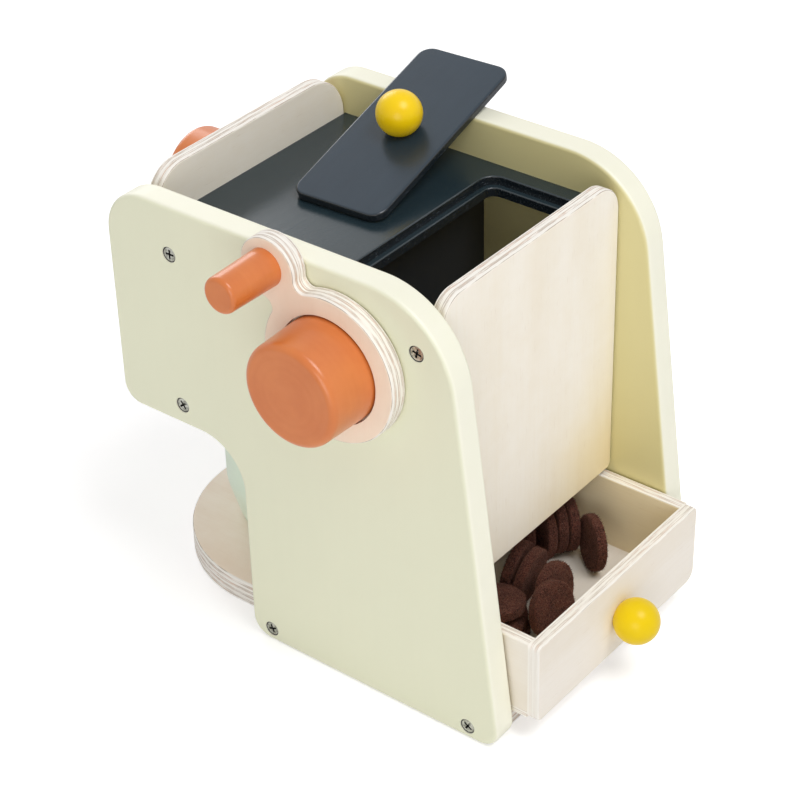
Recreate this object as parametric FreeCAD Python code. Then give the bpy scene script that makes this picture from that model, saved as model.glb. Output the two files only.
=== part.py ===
"""Toy coffee maker: two painted side panels, plain wood boards, a crank, a dial, a lid and a drawer.

Millimetres. +Z is up and z = 0 is the ground. The head, with its dial, faces -Y and the drawer
opens towards +Y. The origin is in the mirror plane of the side panels, half way along the foot.
"""
import FreeCAD, Part
import math
import os

os.makedirs("parts", exist_ok=True)
Vec = FreeCAD.Vector
X_AXIS = Vec(1, 0, 0)
Y_AXIS = Vec(0, 1, 0)
Z_AXIS = Vec(0, 0, 1)

# Driving sizes of the body
overall_width = 143.0        # over both side panels
side_thickness = 12.0
body_height = 200.0          # ground to the top of the side panels
foot_length = 210.0          # nose of the base board to the rear foot of the side panels
head_overhang = 65.0         # the head stands this far in front of the column
head_underside = 95.8
rear_lean = 7.0              # degrees that the rear edge leans forwards
top_front_radius = 21.5
top_rear_radius = 40.0
head_corner_radius = 9.0
throat_radius = 21.7
foot_radius = 9.0
side_softening = 1.8         # rounding of the painted arrises

# Driving sizes of the boards
base_thickness = 12.0
base_set_back = 6.0          # rear end of the base board inside the side panels' rear foot
board_thickness = 8.0        # deck and head floor
ply_thickness = 6.5          # front, back and inner panels
ply_gap = 0.5                # front and back panel to each side panel
ply_softening = 0.9
deck_drop = 18.2             # top of the deck below the top of the side panels
front_panel_set_back = 11.7  # behind the head's front edge
front_panel_rise = 3.2       # above the side panels
front_panel_left_corner = 20.5   # the shoulders are rounded by hand and differ
front_panel_right_corner = 15.5
front_panel_lift = 2.2       # foot of the front panel above the head's underside
panel_foot_corner = 1.0
head_floor_lift = 5.7        # underside of the head floor above the head's underside
column_panel_set_back = 6.0  # behind the column's front edge
back_panel_set_back = 34.7   # rear face in front of the side panels' rear foot
back_panel_drop = 5.5        # top of the back panel below the top of the side panels
back_panel_left_corner = 14.0
back_panel_right_corner = 11.5
back_panel_foot_corner = 3.0
hopper_depth = 61.7          # clear depth of the hopper, in front of the back panel
column_space = 9.2           # clear depth between the column panel and the hopper's divider
drawer_headroom = 2.1        # drawer's top to the back panel and to the divider

# Driving sizes of the hopper opening and its lid
rebate_side_margin = 8.0     # side panel to the rebate
rebate_front_margin = 9.1    # divider to the rebate
rebate_rear_margin = 7.1     # rebate to the back panel
rebate_corner = 7.0
ledge_width = 2.7
lid_gap = 0.5                # lid to rebate, all round
lid_thickness = 4.0
lid_softening = 1.1
opening_softening = 0.7
lid_low_end_x = 11.2         # the lid lies askew: middle of its lower end, on the deck
lid_low_end_set_out = 16.4   # in front of the divider
lid_heading = 183.0          # degrees from +X, along the lid's rise
lid_rest_gap = 0.25          # lid to the deck and to the side panel that it lies on
ball_radius = 9.9
ball_flat = 1.7              # depth of the flat that a ball knob seats on

# Driving sizes of the crank
crank_behind_divider = 28.4
crank_plate_gap = 0.5        # plate to the side panel
crank_plate_thickness = 8.0
crank_plate_radius = 31.6
crank_lobe_radius = 13.2
crank_lobe_reach_y = -27.9   # lobe's centre from the axle's
crank_lobe_reach_z = 35.2
crank_neck_radius = 4.0
hub_radius = 22.8
hub_taper = 0.7
hub_length = 23.0            # in front of the plate
hub_softening = 3.0
hub_pocket_depth = 3.0
hub_pocket_gap = 0.7
hub_bore_depth = 14.0        # in front of the plate
grip_radius = 8.15
grip_taper = 0.5
grip_length = 26.5
grip_softening = 1.8
grip_offset_y = -0.6         # grip's centre from the lobe's centre
grip_offset_z = 0.5
grip_dowel_radius = 3.0
grip_dowel_in_plate = 4.0
grip_dowel_in_grip = 13.0
axle_radius = 5.0
axle_clearance = 0.08        # radial, in the panel that an axle turns in
collar_radius = 11.0
collar_thickness = 8.0
collar_softening = 1.0
collar_gap = 0.3             # collar to the side panel
collar_headroom = 1.8        # collar to the deck's underside
axle_tail = 3.0              # axle beyond its collar

# Driving sizes of the dial
dial_gap = 0.3               # dial to the front panel
dial_radius = 20.0
dial_length = 29.0
dial_softening = 3.0
dial_axle_radius = 3.0
dial_axle_in_dial = 18.0
dial_axle_proud = 0.3        # axle beyond the front panel's rear face
dial_washer_radius = 4.6
dial_washer_thickness = 1.0
dial_washer_headroom = 0.4   # washer to the deck's underside
dial_screw_length = 12.0
dial_screw_head_radius = 2.8

# Driving sizes of the drawer
drawer_length = 82.0
drawer_height = 38.3
drawer_wall = 5.5
drawer_floor_thickness = 3.0
drawer_side_gap = 1.0
drawer_lift = 0.3            # running gap under the drawer
drawer_pulled = 44.7         # rest pose: pulled out this far from flush with the back panel
drawer_softening = 0.8
drawer_face_top_corner = 2.5
drawer_face_left_foot_corner = 5.5    # the foot corners are rounded by hand and differ
drawer_face_right_foot_corner = 2.5
drawer_knob_height = 18.1    # above the drawer's underside

# Driving sizes of the fasteners
screw_head_radius = 3.5
screw_head_depth = 2.4
screw_shank_radius = 1.5
screw_length = 30.0
screw_sink = 0.4             # heads lie this far below the painted face
screw_turn = 37.0            # degrees from one head's cross to the next
cross_length = 4.2
cross_width = 0.9
cross_depth = 1.3
head_screw_set_back = 15.8   # behind the front panel
column_screw_set_back = 10.7 # behind the column's front edge
rear_screw_set_back = 16.0   # in front of the side panels' rear foot
knob_screw_length = 14.0
pan_head_radius = 3.2
pan_head_height = 1.8
pan_head_softening = 1.2
panel_dowel_radius = 2.5
panel_dowel_in_panel = 4.0
panel_dowel_in_board = 16.0
panel_dowel_clearance = 8.9  # dowel to the tip of a side screw

# Driving sizes of the cup
cup_foot_radius = 28.5
cup_radius = 34.0
cup_shoulder_height = 20.0   # the wall stands upright above this
cup_height = 50.0
cup_wall = 3.5
cup_floor = 5.0
cup_foot_softening = 1.8
cup_shoulder_softening = 25.0
cup_lip_softening = 1.5
cup_set_out = 2.9            # cup to the column panel

# Driving sizes of the felt discs
felt_radius = 12.5
felt_thickness = 4.5
felt_softening = 0.8
felt_gap = 0.3               # disc to the drawer's floor
felt_row_count = 2
felt_row_gap = 0.9           # disc to disc in the row that stands on edge
felt_row_heading = -38.0
felt_row_lean = 86.0
# Shares of the room that the discs have: across, from the middle, and inwards from the drawer's face
felt_row_start = (-1.017, 0.796)
# Each: share across, share inwards, heading, lean from flat, rise above the floor in thicknesses
felt_places = [
    (-0.721, 0.913, -32.0, 82.0, 0.0),
    (-0.590, 1.025, -44.0, 86.0, 0.0),
    (-0.884, 0.426, -36.0, 86.0, 0.0),
    (0.301, 0.170, 86.0, 72.0, 0.0),
    (0.032, 0.309, 94.0, 77.0, 0.0),
    (-0.030, 0.622, 278.0, 82.0, 0.0),
    (-0.049, 0.778, 279.0, 83.0, 0.0),
    (0.617, 0.548, 20.0, 2.0, 0.0),
    (0.598, 0.583, 60.0, 4.0, 1.1),
    (0.607, 0.600, 200.0, 7.0, 2.5),
]

# Working numbers
past = 1.0                   # a cutter reaches this far past what it cuts
same_place = 1e-4            # two values this near are one

# Places that follow from the sizes
half_width = overall_width / 2
inner_half = half_width - side_thickness
foot_rear = foot_length / 2
back_panel_rear = foot_rear - back_panel_set_back
back_panel_front = back_panel_rear - ply_thickness
divider_rear = back_panel_front - hopper_depth
divider_front = divider_rear - ply_thickness
column_panel_rear = divider_front - column_space
column_panel_front = column_panel_rear - ply_thickness
column_front = column_panel_front - column_panel_set_back
head_front = column_front - head_overhang
base_nose_centre = -foot_length / 2 + inner_half
deck_top = body_height - deck_drop
deck_underside = deck_top - board_thickness
front_panel_front = head_front + front_panel_set_back
front_panel_rear = front_panel_front + ply_thickness
front_panel_foot = head_underside + front_panel_lift
front_panel_top = body_height + front_panel_rise
back_panel_top = body_height - back_panel_drop
head_floor_underside = head_underside + head_floor_lift
head_floor_top = head_floor_underside + board_thickness
drawer_bottom = base_thickness + drawer_lift
drawer_floor_top = drawer_bottom + drawer_floor_thickness
drawer_top = drawer_bottom + drawer_height
drawer_half = inner_half - drawer_side_gap
drawer_face_rear = back_panel_rear + drawer_pulled
drawer_face_front = drawer_face_rear - drawer_wall
drawer_back_front = drawer_face_rear - drawer_length
back_panel_foot = drawer_top + drawer_headroom
rebate_half = inner_half - rebate_side_margin
rebate_front = divider_rear + rebate_front_margin
rebate_rear = back_panel_front - rebate_rear_margin
lid_length = 2 * (rebate_half - lid_gap)
lid_width = rebate_rear - rebate_front - 2 * lid_gap
crank_below_deck = collar_radius + collar_headroom
dial_below_deck = dial_washer_radius + dial_washer_headroom
screw_tip = half_width - screw_sink - screw_length
panel_dowel_x = screw_tip - panel_dowel_clearance - panel_dowel_radius
felt_room_across = drawer_half - drawer_wall - felt_radius
felt_room_inwards = drawer_length - 2 * drawer_wall - 2 * felt_radius
cup_centre = Vec(0, column_panel_front - cup_set_out - cup_radius, base_thickness)
TO_FRONT = Y_AXIS * -1
DOWN = Z_AXIS * -1


def block(x0, x1, y0, y1, z0, z1):
    """Box between two corners."""
    return Part.makeBox(x1 - x0, y1 - y0, z1 - z0, Vec(x0, y0, z0))


def board_between_sides(y0, y1, z0, z1):
    """Plain board that reaches from one side panel to the other."""
    return block(-inner_half, inner_half, y0, y1, z0, z1)


def rounded_wire(corners, place):
    """Closed wire through (u, v, radius) corners; place(u, v) gives each point in space."""
    count = len(corners)
    entries = []
    for i in range(count):
        u, v, radius = corners[i]
        before = Vec(corners[i - 1][0] - u, corners[i - 1][1] - v, 0)
        after = Vec(corners[(i + 1) % count][0] - u, corners[(i + 1) % count][1] - v, 0)
        before.normalize()
        after.normalize()
        half_angle = before.getAngle(after) / 2
        tangent = radius / math.tan(half_angle)
        bisector = before + after
        bisector.normalize()
        reach = radius / math.sin(half_angle) - radius
        start = (u + before.x * tangent, v + before.y * tangent)
        middle = (u + bisector.x * reach, v + bisector.y * reach)
        end = (u + after.x * tangent, v + after.y * tangent)
        entries.append((radius, place(*start), place(*middle), place(*end)))
    edges = []
    for i, (radius, start, middle, end) in enumerate(entries):
        if radius > 0:
            edges.append(Part.Arc(start, middle, end).toShape())
        following = entries[(i + 1) % count][1]
        if end.distanceToPoint(following) > same_place:
            edges.append(Part.LineSegment(end, following).toShape())
    return Part.Wire(edges)


def plate(corners, place, thickness):
    """Flat board of a rounded outline, extruded along thickness."""
    return Part.Face(rounded_wire(corners, place)).extrude(thickness)


def edges_in_plane(shape, axis, value):
    """Edges of the shape that lie wholly in the plane axis = value."""
    found = []
    for edge in shape.Edges:
        box = edge.BoundBox
        low, high = {"x": (box.XMin, box.XMax), "y": (box.YMin, box.YMax), "z": (box.ZMin, box.ZMax)}[axis]
        if abs(low - value) < same_place and abs(high - value) < same_place:
            found.append(edge)
    return found


def soften(shape, axis, values, radius):
    """Round the arrises of a board in the planes axis = each of values."""
    edges = []
    for value in values:
        edges += edges_in_plane(shape, axis, value)
    return shape.makeFillet(radius, edges)


def rod(start, axis, length, radius):
    """Plain cylinder."""
    return Part.makeCylinder(radius, length, start, axis)


def turned(sections, origin, axis):
    """Solid of revolution; sections lists (radius, distance, rounding) from the foot to the end."""
    corners = [(0.0, sections[0][1], 0.0)] + [tuple(s) for s in sections] + [(0.0, sections[-1][1], 0.0)]
    wire = rounded_wire(corners, lambda r, s: Vec(r, 0, s))
    body = Part.Face(wire).revolve(Vec(0, 0, 0), Z_AXIS, 360)
    body.Placement = FreeCAD.Placement(origin, FreeCAD.Rotation(Z_AXIS, axis))
    return body


def ball_knob(seat, axis):
    """Ball with a flat foot that stands on seat and looks along axis."""
    ball = Part.makeSphere(ball_radius)
    reach = ball_radius - ball_flat
    ball = ball.cut(block(-ball_radius, ball_radius, -ball_radius, ball_radius, -2 * ball_radius, -reach))
    ball.Placement = FreeCAD.Placement(seat + axis * reach, FreeCAD.Rotation(Z_AXIS, axis))
    return ball


def countersink():
    """Cone of a screw's head, with its top at the origin."""
    foot = DOWN * screw_head_depth
    return Part.makeCone(screw_shank_radius, screw_head_radius, screw_head_depth, foot)


def wood_screw(seat, axis, length, turn):
    """Countersunk cross-head screw; seat is the middle of its head's top, axis points out."""
    shank = rod(DOWN * length, Z_AXIS, length - screw_head_depth, screw_shank_radius)
    arm = block(-cross_length / 2, cross_length / 2, -cross_width / 2, cross_width / 2, -cross_depth, 0)
    cross = arm.fuse(arm.rotated(Vec(0, 0, 0), Z_AXIS, 90))
    screw = countersink().fuse(shank).cut(cross).removeSplitter()
    turned_in = FreeCAD.Rotation(Z_AXIS, axis).multiply(FreeCAD.Rotation(Z_AXIS, turn))
    screw.Placement = FreeCAD.Placement(seat, turned_in)
    return screw


def screw_hole(seat, axis, length):
    """Countersink and pilot hole that a wood screw fills, open to the painted face."""
    mouth = rod(Vec(), Z_AXIS, side_softening, screw_head_radius)
    pilot = rod(DOWN * length, Z_AXIS, length, screw_shank_radius)
    hole = countersink().fuse(mouth).fuse(pilot)
    hole.Placement = FreeCAD.Placement(seat, FreeCAD.Rotation(Z_AXIS, axis))
    return hole


def pan_screw(seat, axis, length, head_radius=pan_head_radius):
    """Round-headed screw; seat is under its head and axis points out of the head."""
    sections = [(head_radius, 0.0, 0.0), (head_radius, pan_head_height, pan_head_softening)]
    head = turned(sections, Vec(), Z_AXIS)
    screw = head.fuse(rod(DOWN * length, Z_AXIS, length, screw_shank_radius)).removeSplitter()
    screw.Placement = FreeCAD.Placement(seat, FreeCAD.Rotation(Z_AXIS, axis))
    return screw


def pan_screw_hole(seat, axis, length):
    """Bore of a round-headed screw's shank."""
    return rod(seat - axis * length, axis, length, screw_shank_radius)


def side_screw_seats(side):
    """Middle of each screw head on one side; side is +1 or -1 along X."""
    x = side * (half_width - screw_sink)
    head_y = front_panel_rear + head_screw_set_back
    deck_middle = deck_top - board_thickness / 2
    return [
        Vec(x, head_y, deck_middle),
        Vec(x, head_y, head_floor_underside + board_thickness / 2),
        Vec(x, back_panel_rear - ply_thickness / 2, deck_middle),
        Vec(x, column_front + column_screw_set_back, base_thickness / 2),
        Vec(x, foot_rear - rear_screw_set_back, base_thickness / 2),
    ]


def side_screws(side):
    """The screws of one side, each with its cross turned differently."""
    seats = side_screw_seats(side)
    return Part.makeCompound([wood_screw(seat, X_AXIS * side, screw_length, screw_turn * i)
                              for i, seat in enumerate(seats)])


def cut_side_screws(board):
    """Take every side screw's hole out of a board."""
    for side in (1, -1):
        for seat in side_screw_seats(side):
            board = board.cut(screw_hole(seat, X_AXIS * side, screw_length))
    return board


def side_panel(side):
    """Painted panel with its head overhang, seen from the side."""
    lean = math.tan(math.radians(rear_lean))
    corners = [
        (column_front, 0.0, foot_radius),
        (foot_rear, 0.0, foot_radius),
        (foot_rear - lean * body_height, body_height, top_rear_radius),
        (head_front, body_height, top_front_radius),
        (head_front, head_underside, head_corner_radius),
        (column_front, head_underside, throat_radius),
    ]
    x0 = inner_half if side > 0 else -half_width
    panel = plate(corners, lambda y, z: Vec(x0, y, z), X_AXIS * side_thickness)
    panel = soften(panel, "x", (x0, x0 + side_thickness), side_softening)
    if side > 0:
        panel = panel.cut(rod(crank_centre, X_AXIS, half_width + past, axle_radius + axle_clearance))
    return cut_side_screws(panel)


def base_board():
    """Board under the column with a half-round nose that carries the cup."""
    rear = foot_rear - base_set_back
    nose = rod(Vec(0, base_nose_centre, 0), Z_AXIS, base_thickness, inner_half)
    board = board_between_sides(base_nose_centre, rear, 0, base_thickness)
    board = soften(nose.fuse(board).removeSplitter(), "z", (0.0, base_thickness), ply_softening)
    return cut_side_screws(board)


def panel_dowels():
    """Glued dowels that hold the front panel to the deck and to the head floor."""
    dowels = []
    start = front_panel_rear - panel_dowel_in_panel
    length = panel_dowel_in_panel + panel_dowel_in_board
    for x in (-panel_dowel_x, panel_dowel_x):
        for top in (deck_top, head_floor_top):
            dowels.append(rod(Vec(x, start, top - board_thickness / 2), Y_AXIS, length, panel_dowel_radius))
    return dowels


def cut_panel_dowels(board):
    """Take the dowels' bores out of a board."""
    for dowel in panel_dowels():
        board = board.cut(dowel)
    return board


def shouldered_panel(front, foot, top, foot_corner, left_corner, right_corner):
    """Plywood panel between the side panels, with rounded corners and softened arrises."""
    half = inner_half - ply_gap
    corners = [
        (-half, foot, foot_corner),
        (half, foot, foot_corner),
        (half, top, right_corner),
        (-half, top, left_corner),
    ]
    panel = plate(corners, lambda x, z: Vec(x, front, z), Y_AXIS * ply_thickness)
    return soften(panel, "y", (front, front + ply_thickness), ply_softening)


def front_panel():
    """Plywood front of the head, with round shoulders above the deck."""
    panel = shouldered_panel(front_panel_front, front_panel_foot, front_panel_top,
                             panel_foot_corner, front_panel_left_corner, front_panel_right_corner)
    bore = rod(dial_centre + Y_AXIS * (front_panel_front - past), Y_AXIS, ply_thickness + 2 * past,
               dial_axle_radius + axle_clearance)
    return cut_panel_dowels(panel.cut(bore))


def back_panel():
    """Plywood back of the hopper, with round shoulders."""
    panel = shouldered_panel(back_panel_front, back_panel_foot, back_panel_top,
                             back_panel_foot_corner, back_panel_left_corner, back_panel_right_corner)
    return cut_side_screws(panel)


def rebate_block(inset, z0, z1):
    """Round-cornered block of the hopper opening, inset from the rebate's outline."""
    half = rebate_half - inset
    y0 = rebate_front + inset
    y1 = rebate_rear - inset
    corner = rebate_corner - inset
    corners = [(-half, y0, corner), (half, y0, corner), (half, y1, corner), (-half, y1, corner)]
    return plate(corners, lambda x, y: Vec(x, y, z0), Z_AXIS * (z1 - z0))


def rim_edges(board, z, inset):
    """Edges of the hopper opening at height z."""
    rims = []
    for edge in edges_in_plane(board, "z", z):
        box = edge.BoundBox
        in_x = max(-box.XMin, box.XMax) <= rebate_half - inset + same_place
        in_front = box.YMin >= rebate_front + inset - same_place
        in_rear = box.YMax <= rebate_rear - inset + same_place
        if in_x and in_front and in_rear:
            rims.append(edge)
    return rims


def deck():
    """Painted top board with the rebated hopper opening."""
    ledge_top = deck_top - lid_thickness
    board = board_between_sides(front_panel_rear, back_panel_front, deck_underside, deck_top)
    board = board.cut(rebate_block(0.0, ledge_top, deck_top + past))
    board = board.cut(rebate_block(ledge_width, deck_underside - past, deck_top))
    rims = rim_edges(board, deck_top, 0.0) + rim_edges(board, ledge_top, ledge_width)
    board = board.makeFillet(opening_softening, rims)
    return cut_side_screws(cut_panel_dowels(board))


def head_floor():
    """Board that closes the head from below."""
    board = board_between_sides(front_panel_rear, column_panel_rear, head_floor_underside, head_floor_top)
    return cut_side_screws(cut_panel_dowels(board))


def column_panel():
    """Plywood front of the column, behind the cup."""
    return board_between_sides(column_panel_front, column_panel_rear, base_thickness, head_floor_underside)


def hopper_divider():
    """Painted front wall of the hopper, from the deck down to just above the drawer."""
    return board_between_sides(divider_front, divider_rear, back_panel_foot, deck_underside)


# Places on the crank
plate_back = half_width + crank_plate_gap
plate_front = plate_back + crank_plate_thickness
pocket_floor = plate_front - hub_pocket_depth
collar_outer = inner_half - collar_gap
collar_inner = collar_outer - collar_thickness
crank_centre = Vec(0, divider_rear + crank_behind_divider, deck_underside - crank_below_deck)
lobe_centre = crank_centre + Vec(0, crank_lobe_reach_y, crank_lobe_reach_z)
grip_centre = lobe_centre + Vec(0, grip_offset_y, grip_offset_z)


def crank_axle_at(x0, x1):
    """Stretch of the crank's axle."""
    return rod(crank_centre + X_AXIS * x0, X_AXIS, x1 - x0, axle_radius)


def crank_plate():
    """Round plywood plate with a lobe for the grip, joined by concave necks."""
    along = lobe_centre - crank_centre
    reach = along.Length
    along.normalize()
    across = Vec(0, along.z, -along.y)
    big = crank_plate_radius + crank_neck_radius
    small = crank_lobe_radius + crank_neck_radius
    foot = (big ** 2 - small ** 2 + reach ** 2) / (2 * reach)
    height = math.sqrt(big ** 2 - foot ** 2)

    def neck(side):
        centre = crank_centre + along * foot + across * (height * side)
        on_big = crank_centre + (centre - crank_centre) * (crank_plate_radius / big)
        on_lobe = lobe_centre + (centre - lobe_centre) * (crank_lobe_radius / small)
        towards = (on_big + on_lobe) * 0.5 - centre
        towards.normalize()
        return on_big, centre + towards * crank_neck_radius, on_lobe

    right_big, right_middle, right_lobe = neck(1)
    left_big, left_middle, left_lobe = neck(-1)
    arcs = [
        Part.Arc(right_big, crank_centre - along * crank_plate_radius, left_big),
        Part.Arc(left_big, left_middle, left_lobe),
        Part.Arc(left_lobe, lobe_centre + along * crank_lobe_radius, right_lobe),
        Part.Arc(right_lobe, right_middle, right_big),
    ]
    wire = Part.Wire([arc.toShape() for arc in arcs])
    wire.translate(X_AXIS * plate_back)
    body = Part.Face(wire).extrude(X_AXIS * crank_plate_thickness)
    body = soften(body, "x", (plate_back, plate_front), ply_softening)
    pocket_radius = hub_radius + hub_pocket_gap
    pocket = rod(crank_centre + X_AXIS * pocket_floor, X_AXIS, crank_plate_thickness, pocket_radius)
    return body.cut(pocket).cut(crank_axle_at(plate_back - past, plate_front)).cut(crank_grip_dowel())


def crank_hub():
    """Turned hub, glued on the axle, in a shallow pocket of the plate."""
    height = hub_pocket_depth + hub_length
    sections = [(hub_radius, 0.0, 0.0), (hub_radius - hub_taper, height, hub_softening)]
    hub = turned(sections, crank_centre + X_AXIS * pocket_floor, X_AXIS)
    return hub.cut(crank_axle_at(pocket_floor - past, plate_front + hub_bore_depth))


def crank_grip():
    """Turned grip on the plate's lobe."""
    sections = [(grip_radius, 0.0, 0.0), (grip_radius - grip_taper, grip_length, grip_softening)]
    return turned(sections, grip_centre + X_AXIS * plate_front, X_AXIS).cut(crank_grip_dowel())


def crank_grip_dowel():
    """Dowel glued in the grip and in the plate's lobe."""
    start = grip_centre + X_AXIS * (plate_front - grip_dowel_in_plate)
    return rod(start, X_AXIS, grip_dowel_in_plate + grip_dowel_in_grip, grip_dowel_radius)


def crank_axle():
    """Dowel through the side panel, from the hub to beyond the collar."""
    return crank_axle_at(collar_inner - axle_tail, plate_front + hub_bore_depth)


def crank_collar():
    """Wooden collar, glued on the axle inside the hopper, that keeps the crank in."""
    sections = [(collar_radius, 0.0, collar_softening), (collar_radius, collar_thickness, collar_softening)]
    collar = turned(sections, crank_centre + X_AXIS * collar_inner, X_AXIS)
    return collar.cut(crank_axle_at(collar_inner - past, collar_outer + past))


# Places on the dial
dial_centre = Vec(0, 0, deck_underside - dial_below_deck)
dial_back = front_panel_front - dial_gap
dial_axle_end = front_panel_rear + dial_axle_proud


def dial_axle_rod():
    """The dial's axle as a plain rod."""
    start = dial_back - dial_axle_in_dial
    return rod(dial_centre + Y_AXIS * start, Y_AXIS, dial_axle_end - start, dial_axle_radius)


def dial_screw_seat():
    """Face of the washer that the dial's screw bears on."""
    return dial_centre + Y_AXIS * (dial_axle_end + dial_washer_thickness)


def dial_knob():
    """Turned dial on the front of the head."""
    sections = [(dial_radius, 0.0, 0.0), (dial_radius, dial_length, dial_softening)]
    return turned(sections, dial_centre + Y_AXIS * dial_back, TO_FRONT).cut(dial_axle_rod())


def dial_axle():
    """Dowel through the front panel, glued in the dial."""
    return dial_axle_rod().cut(pan_screw_hole(dial_screw_seat(), Y_AXIS, dial_screw_length))


def dial_washer():
    """Washer on the end of the dial's axle, inside the head."""
    washer = rod(dial_centre + Y_AXIS * dial_axle_end, Y_AXIS, dial_washer_thickness, dial_washer_radius)
    return washer.cut(pan_screw_hole(dial_screw_seat(), Y_AXIS, dial_screw_length))


def dial_screw():
    """Screw that holds the washer on the dial's axle."""
    return pan_screw(dial_screw_seat(), Y_AXIS, dial_screw_length, dial_screw_head_radius)


def lid_placement():
    """Where the lid lies: its low end on the deck, its underside on the far panel's rounded arris.

    The flat lid has its low end's middle at the origin, its length along +X and its underside at z = 0.
    """
    askew = math.radians(lid_heading - 180)
    arris_x = inner_half + side_softening
    # The lid's askew side reaches the arris first
    run = (lid_low_end_x + arris_x - lid_width / 2 * abs(math.sin(askew))) / math.cos(askew)
    rise = body_height - side_softening - deck_top - lid_rest_gap
    tilt = math.atan2(rise, run) + math.asin((side_softening + lid_rest_gap) / math.hypot(run, rise))
    # The rounded low edge lets the flat lid's corner sit a little lower
    corner_drop = lid_softening * (math.sin(tilt) + math.cos(tilt) - 1)
    low_end = Vec(lid_low_end_x, divider_front - lid_low_end_set_out, deck_top + lid_rest_gap - corner_drop)
    turned_round = FreeCAD.Rotation(Z_AXIS, lid_heading)
    return FreeCAD.Placement(low_end, turned_round.multiply(FreeCAD.Rotation(Y_AXIS, -math.degrees(tilt))))


def laid(shape):
    """Move a shape of the flat lid to where the lid lies."""
    shape.Placement = lid_placement().multiply(shape.Placement)
    return shape


lid_screw_seat = Vec(lid_length / 2, 0, 0)


def lid_board():
    """Painted lid that fits the rebate."""
    half = lid_width / 2
    corner = rebate_corner - lid_gap
    corners = [
        (0.0, -half, corner),
        (lid_length, -half, corner),
        (lid_length, half, corner),
        (0.0, half, corner),
    ]
    board = plate(corners, lambda x, y: Vec(x, y, 0), Z_AXIS * lid_thickness)
    board = soften(board, "z", (0.0, lid_thickness), lid_softening)
    return laid(board.cut(pan_screw_hole(lid_screw_seat, DOWN, knob_screw_length)))


def lid_knob():
    """Ball knob in the middle of the lid."""
    knob = ball_knob(lid_screw_seat + Z_AXIS * lid_thickness, Z_AXIS)
    return laid(knob.cut(pan_screw_hole(lid_screw_seat, DOWN, knob_screw_length)))


def lid_knob_screw():
    """Screw from below that holds the lid's knob."""
    return laid(pan_screw(lid_screw_seat, DOWN, knob_screw_length))


drawer_screw_seat = Vec(0, drawer_face_front, drawer_bottom + drawer_knob_height)


def drawer_face():
    """Rear wall of the drawer, as wide as the drawer, with rounded corners."""
    corners = [
        (-drawer_half, drawer_bottom, drawer_face_left_foot_corner),
        (drawer_half, drawer_bottom, drawer_face_right_foot_corner),
        (drawer_half, drawer_top, drawer_face_top_corner),
        (-drawer_half, drawer_top, drawer_face_top_corner),
    ]
    face = plate(corners, lambda x, z: Vec(x, drawer_face_front, z), Y_AXIS * drawer_wall)
    face = soften(face, "y", (drawer_face_rear,), drawer_softening)
    return face.cut(pan_screw_hole(drawer_screw_seat, TO_FRONT, knob_screw_length))


def drawer_board(y0, y1, z0, z1):
    """Plain board as wide as the drawer."""
    return block(-drawer_half, drawer_half, y0, y1, z0, z1)


def drawer_back():
    """Front wall of the drawer, inside the body."""
    return drawer_board(drawer_back_front, drawer_back_front + drawer_wall, drawer_floor_top, drawer_top)


def drawer_side(side):
    """Side wall between the drawer's two end walls."""
    x0 = drawer_half - drawer_wall if side > 0 else -drawer_half
    y0 = drawer_back_front + drawer_wall
    wall = block(x0, x0 + drawer_wall, y0, drawer_face_front, drawer_floor_top, drawer_top)
    top = [edge for edge in edges_in_plane(wall, "z", drawer_top)
           if edge.BoundBox.YLength > drawer_wall + same_place]
    return wall.makeFillet(drawer_softening, top)


def drawer_floor():
    """Thin board under the drawer's walls."""
    return drawer_board(drawer_back_front, drawer_face_front, drawer_bottom, drawer_floor_top)


def drawer_knob():
    """Ball knob on the drawer's rear wall."""
    knob = ball_knob(drawer_screw_seat + Y_AXIS * drawer_wall, Y_AXIS)
    return knob.cut(pan_screw_hole(drawer_screw_seat, TO_FRONT, knob_screw_length))


def drawer_knob_screw():
    """Screw from inside the drawer that holds its knob."""
    return pan_screw(drawer_screw_seat, TO_FRONT, knob_screw_length)


def cup():
    """Turned cup with a drawn-in foot, hollow."""
    outside = turned([
        (cup_foot_radius, 0.0, cup_foot_softening),
        (cup_radius, cup_shoulder_height, cup_shoulder_softening),
        (cup_radius, cup_height, cup_lip_softening),
    ], cup_centre, Z_AXIS)
    inside = turned([
        (cup_foot_radius - cup_wall, cup_floor, cup_foot_softening),
        (cup_radius - cup_wall, cup_shoulder_height, cup_shoulder_softening),
        (cup_radius - cup_wall, cup_height + past, 0.0),
    ], cup_centre, Z_AXIS)
    return outside.cut(inside)


def felt_disc(centre, normal):
    """One felt disc about its centre."""
    half = felt_thickness / 2
    sections = [(felt_radius, -half, felt_softening), (felt_radius, half, felt_softening)]
    disc = turned(sections, Vec(), Z_AXIS)
    disc.Placement = FreeCAD.Placement(centre, FreeCAD.Rotation(Z_AXIS, normal))
    return disc


def felt_disc_on_floor(x, y, heading, lean, rise):
    """Felt disc that lies on the drawer's floor, or rise above it, leaning and facing a heading."""
    tip = math.radians(lean)
    turn = math.radians(heading)
    normal = Vec(math.sin(tip) * math.cos(turn), math.sin(tip) * math.sin(turn), math.cos(tip))
    reach = felt_radius * math.sin(tip) + felt_thickness / 2 * math.cos(tip)
    return felt_disc(Vec(x, y, drawer_floor_top + felt_gap + reach + rise), normal)


def felt_place(across, inwards):
    """Place in the drawer from shares of the room that a disc has."""
    return across * felt_room_across, drawer_face_front - felt_radius - inwards * felt_room_inwards


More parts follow.
